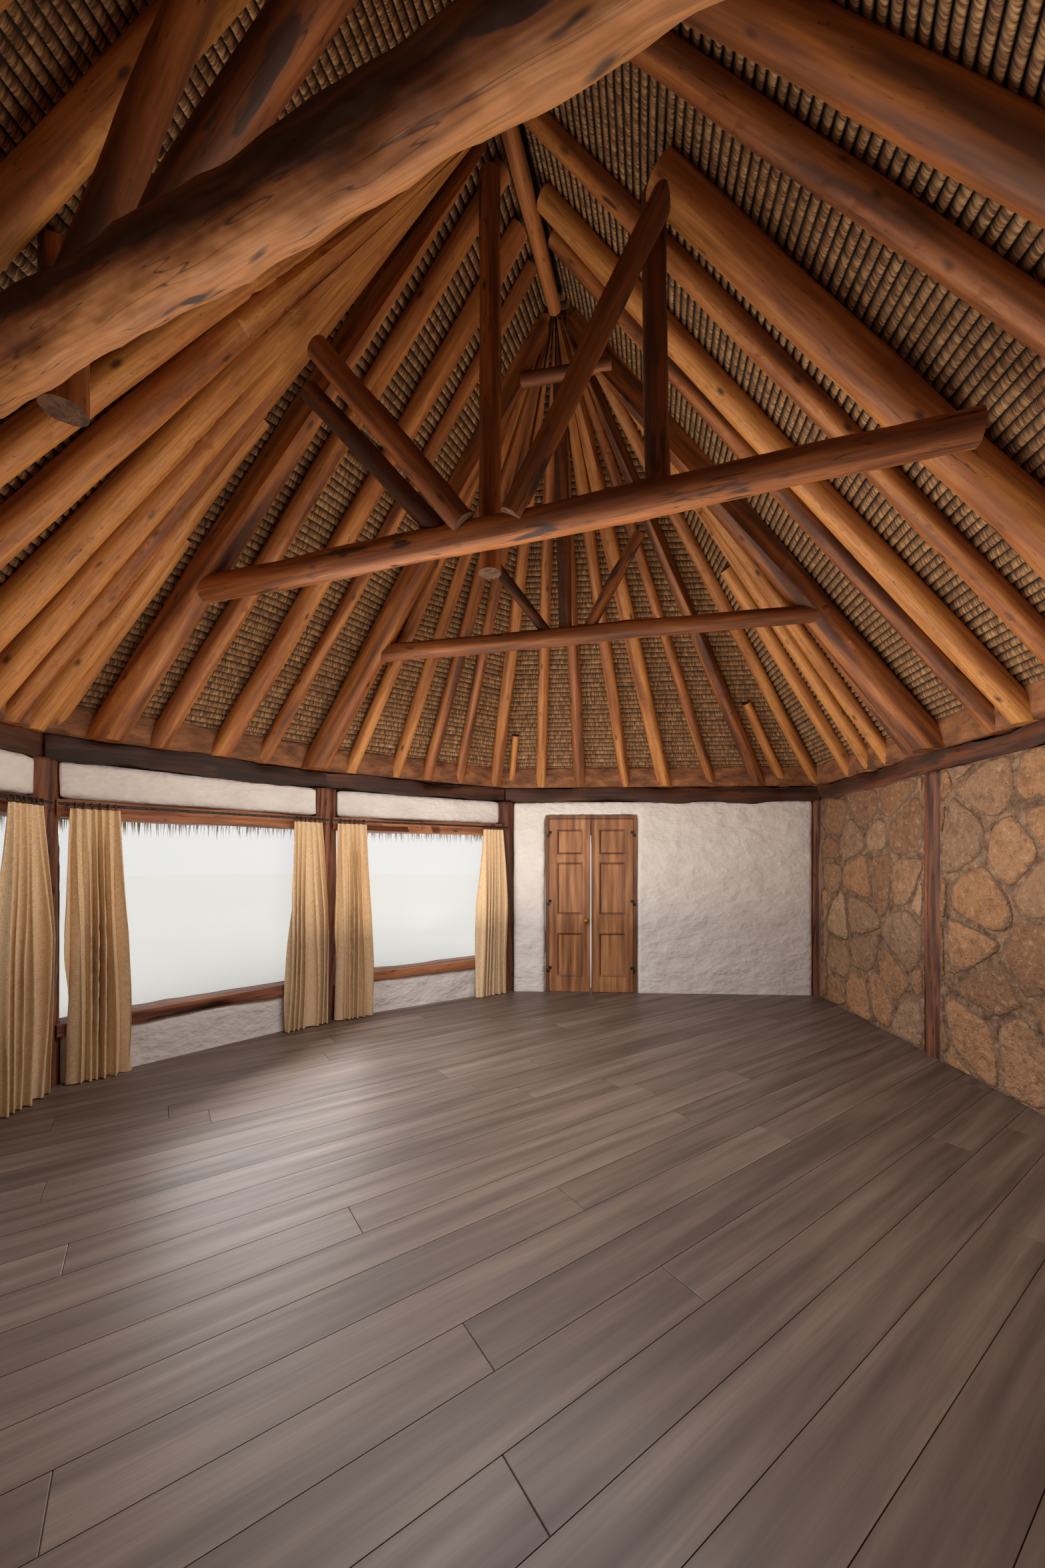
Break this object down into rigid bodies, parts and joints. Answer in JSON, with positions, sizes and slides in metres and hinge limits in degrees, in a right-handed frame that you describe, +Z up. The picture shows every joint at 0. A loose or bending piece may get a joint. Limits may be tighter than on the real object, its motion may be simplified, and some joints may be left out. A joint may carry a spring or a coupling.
{
  "type": "rondavel hut",
  "caption": "Single-room thatched hut with plastered and rubble walls, picture windows, panelled double door and an open pole-truss roof lined with twined reed.",
  "frame": {"origin": "on the ground, at the middle of the eaves' bounding box in plan", "axes": "+X across the room towards the stone wall, +Y along the ridge towards the end wall with the double door, +Z up"},
  "size_m": [8.1718, 10.2594, 6.335],
  "materials": {
    "brass": "worn brass",
    "dark_timber": "weathered hardwood logs, oiled",
    "door_timber": "panelled hardwood, waxed",
    "floor_boards": "wide planks, satin",
    "iron": "forged black iron",
    "linen": "washed linen",
    "mud": "smoothed earth mortar",
    "plaster": "matt lime plaster, trowelled by hand",
    "pole_timber": "peeled poles, oiled",
    "reed": "twined grass rolls",
    "stone": "rubble laid in tan mortar",
    "thatch": "cut grass thatch",
    "window_glass": "clear"
  },
  "bodies": {
    "hut": {"floor": "floor_boards", "threshold": "stone", "low_walls": "plaster", "window_sills": "dark_timber", "window_glass": "window_glass", "window_lintels": "dark_timber", "window_heads": "plaster", "wall_posts": "dark_timber", "end_wall_left": "plaster", "end_wall_right": "plaster", "end_wall_over_door": "plaster", "stone_wall_far": "stone", "stone_wall_near": "stone", "near_end_wall": "plaster", "ring_beam": "dark_timber", "mud_fillet": "mud", "tie_beam_near": "pole_timber", "tie_beam_middle": "pole_timber", "tie_beam_far": "pole_timber", "truss_posts": "dark_timber", "truss_struts": "dark_timber", "principal_rafters": "pole_timber", "peeled_truss_poles": "pole_timber", "ridge_pole": "pole_timber", "rafters_left": "pole_timber", "rafters_right": "pole_timber", "rafters_far": "pole_timber", "rafters_near": "pole_timber", "reed_ceiling": "reed", "thatch_window_far": "thatch", "thatch_bay_far": "thatch", "thatch_end_far": "thatch", "thatch_stone_far": "thatch", "thatch_stone_near": "thatch", "thatch_end_near": "thatch", "thatch_bay_near": "thatch", "thatch_window_near": "thatch", "ridge_cap": "thatch", "door_frame": "door_timber", "hinge_pins": "iron", "curtain_rods": "iron", "curtains": "linen"},
    "left_leaf": {"door_leaf_left": "door_timber", "door_knob": "brass", "leaf_hinges_left": "iron"},
    "right_leaf": {"door_leaf_right": "door_timber", "leaf_hinges_right": "iron"}
  },
  "joints": [
    {"name": "left_leaf_hinge", "type": "hinge", "parent": "hut", "child": "left_leaf", "pos_m": [-0.74224, 3.5604, 1.15], "axis": [0, 0, -1], "range_deg": [0, 90]},
    {"name": "right_leaf_hinge", "type": "hinge", "parent": "hut", "child": "right_leaf", "pos_m": [0.18905, 3.80548, 1.15], "axis": [0, 0, 1], "range_deg": [0, 90]}
  ]
}
